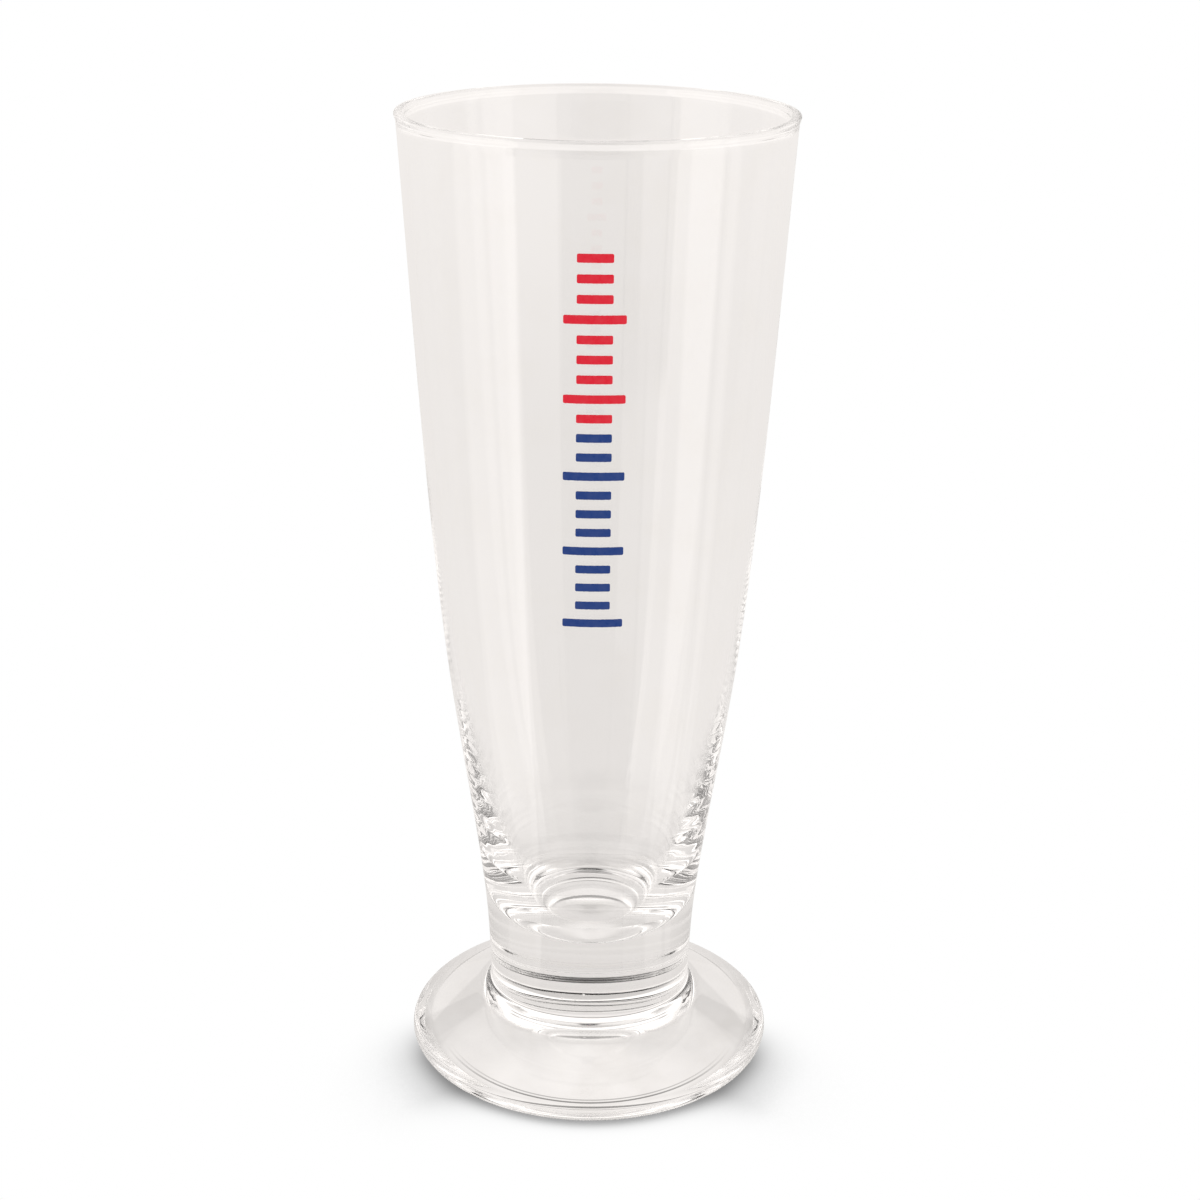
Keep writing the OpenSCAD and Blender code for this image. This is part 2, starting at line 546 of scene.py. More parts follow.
@dataclass(frozen=True)
class PaleFloor:
    """Plain white table that glows in its own colour, with a painted soft shadow of what stands on it and
    painted shade and light near the foot where the glass shows it.

    Attributes:
        name: Name of the material.
        room: What the glass shows of the room.
        reach: Distance in metres over which the object's painted shadow reaches on the table.
        probes: Directions in which that shade is felt for.
        tilt: Lean towards the back of the light that the painted shadow stands for, as a run for each unit
            of height.
        depth: Strength of the painted shadow.
        spread: Power by which the painted shadow falls off beside the object.
        tight: Power that the very front adds, where the painted shadow is narrow.
        tight_from: How far to the front that begins and is full.
        set_in: How far to the front the painted shadow begins and is full.
        level: Brightness of the table near the glass, as the glass shows it.
        far_level: Brightness of the table far from the glass, as the glass shows it.
        far: Radii in metres between which the one runs into the other.
        shade_in: Radii in metres over which the painted shade round the foot sets in.
        shade_out: Radii in metres over which the painted shade round the foot ends.
        shade_side: Share of the light that the painted shade takes beside the foot.
        shade_lean: Share that it takes more in front of the foot, and less behind it.
        under: Share of the light that the painted shade under the foot takes from the table.
        under_r: Radii in metres over which that shade ends.
        glow: Share of light painted at the front under the foot, where the glass gathers light.
        glow_from: How far to the front that begins and is full.
        cloud: Unevenness of the painted light and shade under the foot.
        cloud_scale: Lumps of that unevenness for each metre.
        contact: Radius and half width in metres, and share of the light that it lacks, of each painted dark
            line of shade where the front of the foot meets the table.
        contact_from: How far to the front those lines begin and are full.
    """

    name: str = "pale_floor"
    room: Surroundings = Surroundings()
    reach: float = 0.03
    probes: int = 16
    tilt: float = 0.55
    depth: float = 0.84
    spread: float = 0.64
    tight: float = 3.6
    tight_from: Pair = (0.62, 1.05)
    set_in: Pair = (-0.15, 0.4)
    level: float = 0.82
    far_level: float = 0.86
    far: Pair = (0.42, 1.1)
    shade_in: Pair = (0.029, 0.033)
    shade_out: Pair = (0.038, 0.09)
    shade_side: float = 0.4
    shade_lean: float = 0.38
    under: float = 0.1
    under_r: Pair = (0.0305, 0.0325)
    glow: float = 0.2
    glow_from: Pair = (0.35, 1.0)
    cloud: float = 0.14
    cloud_scale: float = 130.0
    contact: tuple[Triple, ...] = (
        (0.0278, 0.00012, 0.45),
        (0.0287, 0.00015, 0.7),
        (0.0324, 0.0006, 0.9),
    )
    contact_from: Pair = (0.3, 0.95)

    def shadow(self, graph: Graph, front: Socket) -> Socket:
        """Share of light left on the table beside and under the object by its painted shadow.

        Args:
            graph: Node tree that takes the nodes.
            front: How far a place lies to the front, from -1 at the back to 1 at the front.

        Returns:
            The share of the light.
        """
        # Painted shadow: occlusion by the object, felt for with probes leaned to the back, darkens the
        # table's own colour.
        lean = Vector((0.0, self.tilt, 1.0)).normalized()
        shade = graph.add(
            "ShaderNodeAmbientOcclusion",
            {"samples": self.probes},
            {"Distance": self.reach, "Normal": graph.join(*lean)},
            "AO",
        )
        open_share = 0.5 + 0.5 * lean.z
        covered = 1.0 - (shade / open_share).math("MINIMUM", 1.0)
        power = self.spread + front.step(*self.tight_from) * self.tight
        return 1.0 - covered**power * front.step(*self.set_in) * self.depth

    def near_foot(self, graph: Graph, place: Socket, radius: Socket, front: Socket) -> Socket:
        """Share of the light that is left round and under the foot after its painted shade, dark lines and
        light, as the glass shows it.

        Args:
            graph: Node tree that takes the nodes.
            place: Place on the table.
            radius: Its distance from the axis.
            front: How far it lies to the front, from -1 at the back to 1 at the front.

        Returns:
            The share.
        """
        # Painted shade round the foot, darkest in front.
        ring = radius.step(*self.shade_in) * (1.0 - radius.step(*self.shade_out))
        share = 1.0 - ring * (self.shade_side + front * self.shade_lean)
        # Painted dark lines of shade where the front of the foot meets the table.
        for at, half, lack in self.contact:
            dark = radius.window(at - half, at + half, half) * front.step(*self.contact_from)
            share = share * (1.0 - dark * lack)
        # Painted shade under the foot, with painted light at its front and a painted unevenness.
        inside = 1.0 - radius.step(*self.under_r)
        painted_uneven = (graph.noise(place, self.cloud_scale) - 0.5) * self.cloud
        under = inside * (self.under - front.step(*self.glow_from) * self.glow + painted_uneven)
        return share * (1.0 - under)

    def material(self) -> bpy.types.Material:
        """Makes the material."""
        made = bpy.data.materials.new(self.name)
        made.cycles.emission_sampling = "NONE"
        graph = Graph(made)
        place = graph.add("ShaderNodeTexCoord", output="Object")
        x, y, _ = graph.axes(place)
        radius = (x * x + y * y) ** 0.5
        front = -y / (radius + MM)
        light = self.shadow(graph, front)
        near = self.near_foot(graph, place, radius, front)
        level = self.level + radius.step(*self.far) * (self.far_level - self.level)
        # Painted shade near the foot, times the table's level, plus the zones' painted light and shade on
        # the table.
        shown = near * level + self.room.on_table(self.room.bearing(x, y), radius)
        # The camera sees the table's white colour with the painted shadow; gloss and glass see the painted
        # shade and light in shown.
        table = graph.add("ShaderNodeEmission", inputs={"Color": graph.join(light, light, light)})
        mirrored = graph.add("ShaderNodeEmission", inputs={"Color": self.room.colour(graph, shown)})
        shader = graph.add("ShaderNodeMixShader", inputs={0: graph.by_glass(), 1: table, 2: mirrored})
        graph.add("ShaderNodeOutputMaterial", inputs={"Surface": shader})
        return made


@dataclass(frozen=True)
class Patch:
    """A part of the room's walls and ceiling, the same to the left and to the right.

    Attributes:
        aside: Angles in degrees from the camera's side between which it lies.
        sines: Sines of the elevations between which it lies.
        gain: Brightness that it adds, as a share of the room's own.
        soft: Width in degrees over which its sides fade.
        fade: Change of the sine over which its lower and upper edges fade.
    """

    aside: Pair
    sines: Pair
    gain: float
    soft: float
    fade: float


@dataclass(frozen=True)
class StudioWorld:
    """Pale room with a dark screen on the camera's side and dim and light bands on its walls.

    Attributes:
        name: Name of the world.
        room: What the glass shows of the room.
        backdrop: Colour of the background.
        plain: Colour of the light on matt surfaces.
        level: Brightness of the room that the glass shows.
        patches: Darker and lighter parts of the walls and the ceiling.
        zone_sines: Sines of the elevations between which the zones fade out.
    """

    name: str = "studio"
    room: Surroundings = Surroundings()
    backdrop: Colour = (1.0, 1.0, 1.0)
    plain: Colour = (0.86, 0.86, 0.86)
    level: float = 0.94
    patches: tuple[Patch, ...] = (
        Patch(aside=(0.0, 8.0), sines=(-0.2, 0.88), gain=-1.0, soft=12.0, fade=0.06),
        Patch(aside=(0.0, 19.0), sines=(-0.2, 0.48), gain=-0.3, soft=25.0, fade=0.2),
        Patch(aside=(137.0, 180.0), sines=(0.4, 0.54), gain=-0.6, soft=12.0, fade=0.03),
        Patch(aside=(126.0, 180.0), sines=(0.63, 0.88), gain=0.36, soft=30.0, fade=0.04),
        Patch(aside=(57.0, 147.0), sines=(0.2, 0.49), gain=0.34, soft=20.0, fade=0.1),
        Patch(aside=(0.0, 180.0), sines=(0.93, 1.0), gain=-0.3, soft=1.0, fade=0.03),
    )
    zone_sines: Pair = (0.2, 0.5)

    def walls(self, bearing: Socket, height: Socket) -> Socket:
        """Brightness of the walls and the ceiling.

        Args:
            bearing: Direction in degrees from the camera's side to the right.
            height: Sine of the elevation.

        Returns:
            The brightness.
        """
        aside = bearing.math("ABSOLUTE")
        shown = self.level
        for patch in self.patches:
            part = aside.window(*patch.aside, patch.soft) * height.window(*patch.sines, patch.fade)
            shown = (1.0 + part * patch.gain) * shown
        low = self.room.on_walls(bearing) * (1.0 - height.step(*self.zone_sines))
        return (shown + low).math("MAXIMUM", 0.0)

    def world(self) -> bpy.types.World:
        """Makes the world."""
        made = bpy.data.worlds.new(self.name)
        graph = Graph(made)
        x, y, z = graph.axes(graph.add("ShaderNodeTexCoord", output="Generated"))
        shown = self.walls(self.room.bearing(x, y), z)
        seen = graph.add("ShaderNodeBackground", inputs={"Color": self.room.colour(graph, shown)})
        plain = graph.add("ShaderNodeBackground", inputs={"Color": self.plain})
        white = graph.add("ShaderNodeBackground", inputs={"Color": self.backdrop})
        light = graph.add("ShaderNodeMixShader", inputs={0: graph.by_glass(), 1: plain, 2: seen})
        shader = graph.add("ShaderNodeMixShader", inputs={0: graph.ray(Ray.CAMERA), 1: light, 2: white})
        graph.add("ShaderNodeOutputWorld", inputs={"Surface": shader})
        return made


def round_steps(count: int) -> np.ndarray:
    """Angles in radians of even steps round the axis."""
    return np.arange(count) * (2.0 * math.pi / count)


def ease(share: np.ndarray) -> np.ndarray:
    """Eases shares from 0 to 1, flat at both ends."""
    held = np.clip(share, 0.0, 1.0)
    return held * held * (3.0 - 2.0 * held)


@dataclass
class Solid:
    """Vertices in millimetres and faces, gathered for one mesh.

    Attributes:
        points: Vertices.
        faces: Faces, as tuples of places in the list of vertices.
        slots: Material slot of each face.
        sharp: Pairs of vertices whose edge stays sharp.
    """

    points: list[Triple] = field(default_factory=list)
    faces: list[tuple[int, ...]] = field(default_factory=list)
    slots: list[int] = field(default_factory=list)
    sharp: set[tuple[int, int]] = field(default_factory=set)

    def face(self, corners: Iterable[int], slot: int = Skin.GLASS) -> None:
        """Adds one face in a material slot."""
        self.faces.append(tuple(corners))
        self.slots.append(int(slot))

    def ring(self, radii: Union[float, np.ndarray], height: float, angles: np.ndarray) -> list[int]:
        """Adds a level ring of vertices about the axis.

        Args:
            radii: Radius of the ring, or of each vertex.
            height: Height of the ring.
            angles: Angle of each vertex.

        Returns:
            The places of the new vertices.
        """
        start = len(self.points)
        level = np.full_like(angles, height)
        ring = np.column_stack((radii * np.cos(angles), radii * np.sin(angles), level))
        self.points.extend(map(tuple, ring))
        return list(range(start, start + len(ring)))

    def object(self, name: str, materials: Iterable[bpy.types.Material]) -> bpy.types.Object:
        """Makes a smooth-shaded object of what was gathered.

        Args:
            name: Name of the object.
            materials: Materials of its slots, in order.

        Returns:
            The object, linked to the scene.
        """
        mesh = bpy.data.meshes.new(name)
        mesh.from_pydata((np.array(self.points) * MM).tolist(), [], self.faces)
        mesh.polygons.foreach_set("material_index", self.slots)
        mesh.polygons.foreach_set("use_smooth", [True] * len(self.faces))
        if self.sharp:
            ends = np.empty(2 * len(mesh.edges), dtype=int)
            mesh.edges.foreach_get("vertices", ends)
            pairs = np.sort(ends.reshape(-1, 2), axis=1)
            kept = [tuple(pair) in self.sharp for pair in pairs.tolist()]
            mesh.edges.foreach_set("use_edge_sharp", kept)
        mesh.update()
        for material in materials:
            mesh.materials.append(material)
        made = bpy.data.objects.new(name, mesh)
        bpy.context.scene.collection.objects.link(made)
        return made


@dataclass
class Profile:
    """Section from the axis out and back, turned into a solid.

    Attributes:
        radii: Radius of each point.
        heights: Height of each point.
        seams: Places of the strips that are a fused joint, each between a point and the next one.
        segments: Number of steps round the axis.
    """

    radii: np.ndarray
    heights: np.ndarray
    seams: tuple[int, ...] = ()
    segments: int = 192

    def turn(self, waves: Optional[np.ndarray] = None) -> Solid:
        """Turns the section about the axis.

        Args:
            waves: Change of the radius at each point and step, or None for a true turning.

        Returns:
            The closed solid.
        """
        made = Solid()
        angles = round_steps(self.segments)
        rings = []
        for place, (radius, height) in enumerate(zip(self.radii, self.heights)):
            if radius <= 0.0:
                made.points.append((0.0, 0.0, float(height)))
                rings.append([len(made.points) - 1])
                continue
            change = 0.0 if waves is None else waves[place]
            rings.append(made.ring(radius + change, height, angles))
        for place, (inner, outer) in enumerate(zip(rings, rings[1:])):
            slot = Skin.JOINT if place in self.seams else Skin.GLASS
            for step in range(self.segments):
                after = (step + 1) % self.segments
                if len(inner) == 1:
                    made.face((inner[0], outer[after], outer[step]), slot)
                elif len(outer) == 1:
                    made.face((inner[step], inner[after], outer[0]), slot)
                else:
                    made.face((inner[step], inner[after], outer[after], outer[step]), slot)
            if slot is Skin.JOINT:
                self.keep_sharp(made, inner, outer)
        return made

    def keep_sharp(self, made: Solid, inner: list[int], outer: list[int]) -> None:
        """Keeps the rims of a joint from being smoothed into the wall."""
        for rim in (inner, outer):
            for step, first in enumerate(rim):
                second = rim[(step + 1) % len(rim)]
                made.sharp.add((min(first, second), max(first, second)))


def arc(centre: Pair, radius: float, start: float, end: float, steps: int) -> np.ndarray:
    """Points on an arc in the section.

    Args:
        centre: Radius and height of the arc's centre.
        radius: Radius of the arc.
        start: Angle in degrees of the first point.
        end: Angle in degrees of the last point.
        steps: Number of points.

    Returns:
        One row of radius and height for each point.
    """
    angles = np.radians(np.linspace(start, end, steps))
    return np.column_stack((centre[0] + radius * np.cos(angles), centre[1] + radius * np.sin(angles)))


def line(start: Iterable[float], end: Iterable[float], steps: int) -> np.ndarray:
    """Points on a straight line in the section, with both ends.

    Args:
        start: Radius and height of the first point.
        end: Radius and height of the last point.
        steps: Number of points.

    Returns:
        One row of radius and height for each point.
    """
    return np.linspace(np.array(tuple(start)), np.array(tuple(end)), steps)


def graze(run: float, rise: float, radius: float) -> float:
    """Direction of a line that grazes a rounded corner.

    Args:
        run: Distance across, from the start of the line to the corner's centre.
        rise: Distance up, from the start of the line to the corner's centre.
        radius: Radius of the corner.

    Returns:
        The direction in degrees.
    """
    return math.degrees(math.atan2(rise, run) - math.asin(radius / math.hypot(run, rise)))


def gather(*parts: np.ndarray, apart: float = 1e-4) -> np.ndarray:
    """Joins runs of points and drops those that repeat the one before.

    Args:
        parts: Runs of points.
        apart: Distance up to which two points count as one.

    Returns:
        One row of radius and height for each point that is left.
    """
    points = np.vstack(parts)
    moved = np.linalg.norm(np.diff(points, axis=0), axis=1) > apart
    return points[np.concatenate(([True], moved))]


@dataclass(frozen=True)
class Rule:
    """Smooth rule for the radius between two heights, with the lean given at both ends.

    Attributes:
        low: Height, radius and lean at the lower end.
        high: Height, radius and lean at the upper end.
    """

    low: Triple
    high: Triple

    def radius(self, heights: np.ndarray) -> np.ndarray:
        """Radius at each height."""
        span = self.high[0] - self.low[0]
        t = (heights - self.low[0]) / span
        return (
            self.low[1] * (2.0 * t**3 - 3.0 * t**2 + 1.0)
            + self.low[2] * span * (t**3 - 2.0 * t**2 + t)
            + self.high[1] * (3.0 * t**2 - 2.0 * t**3)
            + self.high[2] * span * (t**3 - t**2)
        )


@dataclass(frozen=True)
class Ripples:
    """Fine waves that the mould leaves in the skin of the glass.

    Attributes:
        depth: Typical height of the waves.
        span: Places along the section at which they begin, are full, begin to fade and end.
        pitch: Shortest and longest wave.
        turns: Most turns that a crest climbs on its way round the axis.
        sway: How far the crests wander, as a share of a wave.
        bends: Fewest bends of a wandering crest, and the number that it stays under.
        count: Number of waves laid over each other.
        seed: Seed of the waves.
        front: Share of the depth that is left at the front and the back, away from the sides.
    """

    depth: float
    span: tuple[float, float, float, float]
    pitch: Pair
    turns: int
    sway: float = 0.15
    bends: tuple[int, int] = (2, 9)
    count: int = 8
    seed: int = 7
    front: float = 1.0

    def field(self, along: np.ndarray, segments: int) -> np.ndarray:
        """Height of the waves.

        Args:
            along: Place of each point along the section.
            segments: Number of steps round the axis.

        Returns:
            One row for each point and one column for each step.
        """
        random = np.random.default_rng(self.seed)
        angles = round_steps(segments)
        along = along[:, None]
        total = np.zeros((len(along), segments))
        for _ in range(self.count):
            pitch = random.uniform(*self.pitch)
            turns = random.integers(-self.turns, self.turns + 1)
            bends = random.integers(*self.bends)
            phase, bend_phase = random.uniform(0.0, 2.0 * math.pi, 2)
            wander = turns * angles + 2.0 * math.pi * self.sway * np.sin(bends * angles + bend_phase)
            total += random.normal() * np.sin(2.0 * math.pi * along / pitch + wander + phase)
        begin, full, fade, end = self.span
        reach = ease((along - begin) / (full - begin)) * ease((end - along) / (end - fade))
        sides = self.front + (1.0 - self.front) * np.cos(angles) ** 4
        return self.depth * reach * sides * total * math.sqrt(2.0 / self.count)


@dataclass(frozen=True)
class Seed:
    """A tiny gas bubble left in the glass.

    Attributes:
        centre: Place of the bubble in millimetres.
        radius: Radius across.
        stretch: Height of the bubble over its width.
    """

    centre: Triple
    radius: float
    stretch: float = 1.0

    def add_to(self, solid: Solid, rings: int = 9, segments: int = 14) -> None:
        """Adds the bubble's skin, facing its hollow.

        Args:
            solid: The glass around the bubble.
            rings: Number of rings from pole to pole.
            segments: Number of steps round each ring.
        """
        angles = round_steps(segments)
        x, y, z = self.centre
        tall = self.radius * self.stretch
        start = len(solid.points)
        solid.points.append((x, y, z - tall))
        for ring in range(1, rings):
            lift = math.pi * ring / rings
            across = self.radius * math.sin(lift)
            level = z - tall * math.cos(lift)
            skin = np.column_stack((np.cos(angles), np.sin(angles), np.zeros(segments))) * across
            solid.points.extend(map(tuple, skin + (x, y, level)))
        solid.points.append((x, y, z + tall))
        top = len(solid.points) - 1
        for step in range(segments):
            after = (step + 1) % segments
            solid.face((start, start + 1 + step, start + 1 + after))
            for ring in range(rings - 2):
                low = start + 1 + ring * segments
                high = low + segments
                solid.face((low + after, low + step, high + step, high + after))
            last = top - segments
            solid.face((last + after, last + step, top))


@dataclass
class Foot:
    """Pressed foot: a domed underside, a standing ring, a rounded edge, a slope and a cove.

    Attributes:
        width: Outer diameter.
        joint_h: Height of the fused joint.
        neck_d: Diameter at the joint.
        neck_lean: Lean of the neck at the joint, as radius gained for each unit of height.
        ripples: Waves in the skin, placed along the section from the joint.
        edge_t: Thickness of the rounded edge.
        edge_lift: Clearance between the edge and the table.
        contact_inset: Distance from the edge in to the standing ring.
        contact_w: Width of the standing ring.
        ring_round: Radius to which the corners of the ring are worn.
        slope_h: Height at which the slope would meet the neck.
        cove_r: Radius of the cove.
        hollow_h: Depth of the dome under the foot.
        seeds: Bubbles in the glass.
    """

    width: float
    joint_h: float
    neck_d: float
    neck_lean: float
    ripples: Ripples
    edge_t: float = 3.8
    edge_lift: float = 0.85
    contact_inset: float = 3.5
    contact_w: float = 1.4
    ring_round: float = 0.25
    slope_h: float = 11.2
    cove_r: float = 5.0
    hollow_h: float = 6.5
    seeds: tuple[Seed, ...] = (
        Seed((-4.1, -9.0, 14.6), 0.24, 0.8),
        Seed((-2.2, -10.4, 14.9), 0.17),
        Seed((-0.8, -7.6, 15.1), 0.2, 1.3),
    )

    @classmethod
    def seated(cls, bowl: "Bowl") -> "Foot":
        """Takes the outer sizes from the CAD node, and the neck from the bowl on top.

        Args:
            bowl: The bowl that is fused to the foot.

        Returns:
            The foot.
        """
        low, high = (np.array(corner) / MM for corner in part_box("foot"))
        return cls(
            width=float(min(high[:2] - low[:2])),
            joint_h=float(high[2]),
            neck_d=bowl.neck[0],
            neck_lean=bowl.neck[1],
            ripples=bowl.neck_ripples,
        )

    def ring_corner(self, at: float, before: float, after: float) -> np.ndarray:
        """Worn corner of the standing ring.

        Args:
            at: Radius of the sharp corner.
            before: Direction in degrees in which the outline arrives.
            after: Direction in degrees in which it leaves.

        Returns:
            Points of the corner.
        """
        turn = math.radians(after - before)
        back = self.ring_round * math.tan(turn / 2.0)
        arrive = math.radians(before)
        left = math.radians(before + 90.0)
        centre = (
            at - back * math.cos(arrive) + self.ring_round * math.cos(left),
            -back * math.sin(arrive) + self.ring_round * math.sin(left),
        )
        return arc(centre, self.ring_round, before - 90.0, after - 90.0, steps=6)

    def section(self) -> np.ndarray:
        """Points of the section from the axis under the dome to the axis on the joint."""
        neck_r = self.neck_d / 2.0
        edge_r = self.edge_t / 2.0
        edge = (self.width / 2.0 - edge_r, self.edge_lift + edge_r)
        contact_r = self.width / 2.0 - self.contact_inset
        hollow_r = contact_r - self.contact_w
        dome_r = (hollow_r**2 + self.hollow_h**2) / (2.0 * self.hollow_h)
        dome_end = math.degrees(math.acos(hollow_r / dome_r))
        slope = graze(edge[0] - neck_r, self.slope_h - edge[1], edge_r)
        bevel = graze(edge[0] - contact_r, edge[1], edge_r)
        tangent = self.cove_r * math.tan(math.radians(90.0 - slope) / 2.0)
        cove_top = self.slope_h + tangent
        slope_foot = (
            neck_r + tangent * math.cos(math.radians(slope)),
            self.slope_h - tangent * math.sin(math.radians(slope)),
        )
        dome = arc((0.0, self.hollow_h - dome_r), dome_r, 90.0, dome_end, steps=56)
        inner_corner = self.ring_corner(hollow_r, dome_end - 90.0, 0.0)
        outer_corner = self.ring_corner(contact_r, 0.0, bevel)
        rounded = arc(edge, edge_r, bevel - 90.0, 90.0 - slope, steps=40)
        sloped = line(rounded[-1], slope_foot, steps=30)
        cove = arc((neck_r + self.cove_r, cove_top), self.cove_r, 270.0 - slope, 180.0, steps=34)
        neck_z = np.linspace(cove_top, self.joint_h, num=10)
        drift = 0.5 * self.neck_lean * (self.joint_h - cove_top)
        land = Rule((cove_top, neck_r - drift, 0.0), (self.joint_h, neck_r, self.neck_lean))
        cove[:, 0] -= drift * np.linspace(0.0, 1.0, len(cove))
        neck = np.column_stack((land.radius(neck_z), neck_z))
        under = dome[dome[:, 1] > inner_corner[0, 1]]
        under[0, 0] = 0.0
        joint = np.array([[0.0, self.joint_h]])
        return gather(under, inner_corner, outer_corner, rounded, sloped, cove, neck, joint)

    def waves(self, points: np.ndarray, segments: int) -> np.ndarray:
        """Ripples of the cove and the neck, placed by the way down the section from the joint.

        Args:
            points: The section.
            segments: Number of steps round the axis.

        Returns:
            Change of the radius at each point and step.
        """
        steps = np.linalg.norm(np.diff(points[:-1], axis=0), axis=1)
        along = np.concatenate((-np.cumsum(steps[::-1])[::-1], [0.0, 0.0]))
        return self.ripples.field(along, segments)

    def build(self, materials: Iterable[bpy.types.Material]) -> bpy.types.Object:
        """Turns the foot and seats it in place of its CAD node."""
        points = self.section()
        turned = Profile(points[:, 0], points[:, 1], (len(points) - 2,))
        solid = turned.turn(self.waves(points, turned.segments))
        for seed in self.seeds:
            seed.add_to(solid)
        made = solid.object("foot_glass", materials)
        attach(made, "root")
        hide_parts("foot")
        return made


@dataclass
class Bowl:
    """Blown bowl: a heavy base, walls that thin towards the rim, and a rounded lip.

    Attributes:
        rim_d: Outer diameter of the lip.
        top: Height of the lip.
        joint_h: Height of the fused joint.
        neck: Diameter and lean at the joint.
        neck_ripples: Waves in the skin of the neck, placed by height above the joint.
        waist: Height, diameter and lean at the waist.
        swell: Height, diameter and lean at the swell.
        rim_lean: Lean of the wall at the lip.
        rim_wall: Thickness of the wall below the lip.
        lip_proud: How far the lip stands proud of the wall.
        lip_round: Radius of the two rounded corners of the lip.
        lip_fade: Height over which the lip fades into the wall.
        base_wall: Thickness of the wall at the bottom curve.
        thinning_h: Height over which the extra thickness fades.
        floor_t: Glass between the joint and the cavity.
        bottom_rise: Height of the rounded bottom of the cavity.
        inside: Chill ripples of the lower inner wall, placed by height.
        ripple_points: Points of the section on each of the shortest of them.
    """

    rim_d: float
    top: float
    joint_h: float
    neck: Pair = (39.1, 0.03)
    neck_ripples: Ripples = Ripples(
        depth=0.0015, span=(-10.0, -6.0, 3.0, 9.0), pitch=(1.8, 4.0), turns=2, seed=3
    )
    waist: Triple = (34.0, 41.4, 0.115)
    swell: Triple = (85.0, 55.3, 0.108)
    rim_lean: float = 0.066
    rim_wall: float = 1.2
    lip_proud: float = 0.25
    lip_round: float = 0.4
    lip_fade: float = 1.5
    base_wall: float = 5.25
    thinning_h: float = 19.0
    floor_t: float = 10.5
    bottom_rise: float = 10.6
    inside: Ripples = Ripples(
        depth=0.011, span=(40.0, 45.0, 50.0, 84.0), pitch=(2.6, 3.6), turns=5, sway=0.3, count=4, front=0.03
    )
    ripple_points: float = 7.0

    @classmethod
    def seated(cls) -> "Bowl":
        """Takes the outer sizes from the CAD node."""
        low, high = (np.array(corner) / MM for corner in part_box("bowl"))
        return cls(rim_d=float(min(high[:2] - low[:2])), top=float(high[2]), joint_h=float(low[2]))

    @property
    def lip_h(self) -> float:
        """Height of the centres of the lip's rounded corners."""
        return self.top - self.lip_round

    @property
    def corner_h(self) -> float:
        """Height at which the bottom curve runs into the wall."""
        return self.joint_h + self.floor_t + self.bottom_rise

    def rules(self) -> tuple[Rule, Rule, Rule]:
        """Rules of the outer wall from the joint to the lip."""
        foot = (self.joint_h, self.neck[0] / 2.0, self.neck[1])
        waist = (self.waist[0], self.waist[1] / 2.0, self.waist[2])
        swell = (self.swell[0], self.swell[1] / 2.0, self.swell[2])
        lip = (self.lip_h, self.rim_d / 2.0 - self.lip_proud, self.rim_lean)
        return Rule(foot, waist), Rule(waist, swell), Rule(swell, lip)

    def outer(self, heights: np.ndarray) -> np.ndarray:
        """Outer radius at each height."""
        heights = np.asarray(heights, dtype=float)
        lower, middle, upper = (rule.radius(heights) for rule in self.rules())
        return np.where(heights < self.waist[0], lower, np.where(heights < self.swell[0], middle, upper))

    def inner(self, heights: np.ndarray) -> np.ndarray:
        """Inner radius at each height above the bottom curve."""
        extra = (self.base_wall - self.rim_wall) * np.exp((self.corner_h - heights) / self.thinning_h)
        return self.outer(heights) - self.rim_wall - extra

    def bottom(self, steps: int) -> np.ndarray:
        """Points of the bottom of the cavity, from the wall to the axis.

        Args:
            steps: Number of points.

        Returns:
            One row of radius and height for each point.
        """
        step = 1e-3
        corner_r = float(self.inner(self.corner_h))
        lean = (float(self.inner(self.corner_h + step)) - corner_r) / step
        power = corner_r / (self.bottom_rise * lean)
        radii = corner_r * np.linspace(1.0, 0.0, steps)
        heights = self.joint_h + self.floor_t + self.bottom_rise * (radii / corner_r) ** power
        return np.column_stack((radii, heights))

    def section(self) -> np.ndarray:
        """Points of the section from the axis on the joint to the axis in the cavity."""
        outer_z = np.concatenate(
            (
                np.linspace(self.joint_h, self.waist[0], num=28),
                np.linspace(self.waist[0], self.swell[0], num=50),
                np.linspace(self.swell[0], self.lip_h, num=40),
            )
        )
        wavy = self.inside.span[-1]
        fine = min(self.inside.pitch) / self.ripple_points
        inner_z = np.concatenate(
            (
                np.linspace(self.lip_h, wavy, num=36),
                np.arange(wavy, self.corner_h, -fine),
                [self.corner_h],
            )
        )
        below = self.top - self.lip_fade
        outer = np.column_stack((self.outer(outer_z), outer_z))
        inner = np.column_stack((self.inner(inner_z), inner_z))
        joint = np.array([[0.0, self.joint_h]])
        lip, bottom = self.lip(below), self.bottom(steps=44)
        return gather(joint, outer[outer_z < below], lip, inner[inner_z < below], bottom)

    def lip(self, below: float) -> np.ndarray:
        """Section of the lip: the fading outer side, two rounded corners and the fading inner side.

        Args:
            below: Height at which the lip has faded into the wall.

        Returns:
            Points from the outer wall over the top to the inner wall.
        """
        middle = self.rim_d / 2.0 - self.lip_proud - self.rim_wall / 2.0
        aside = self.rim_wall / 2.0 + self.lip_proud - self.lip_round
        wall = np.array([below])
        outer, inner = float(self.outer(wall)[0]), float(self.inner(wall)[0])
        rise = self.lip_h - below
        begin = graze(middle + aside - outer, rise, self.lip_round) - 90.0
        end = 270.0 - graze(inner - middle + aside, rise, self.lip_round)
        first = arc((middle + aside, self.lip_h), self.lip_round, begin, 90.0, steps=18)
        last = arc((middle - aside, self.lip_h), self.lip_round, 90.0, end, steps=18)
        up = line((outer, below), first[0], steps=5)
        down = line(last[-1], (inner, below), steps=5)
        return gather(up, first, last, down)

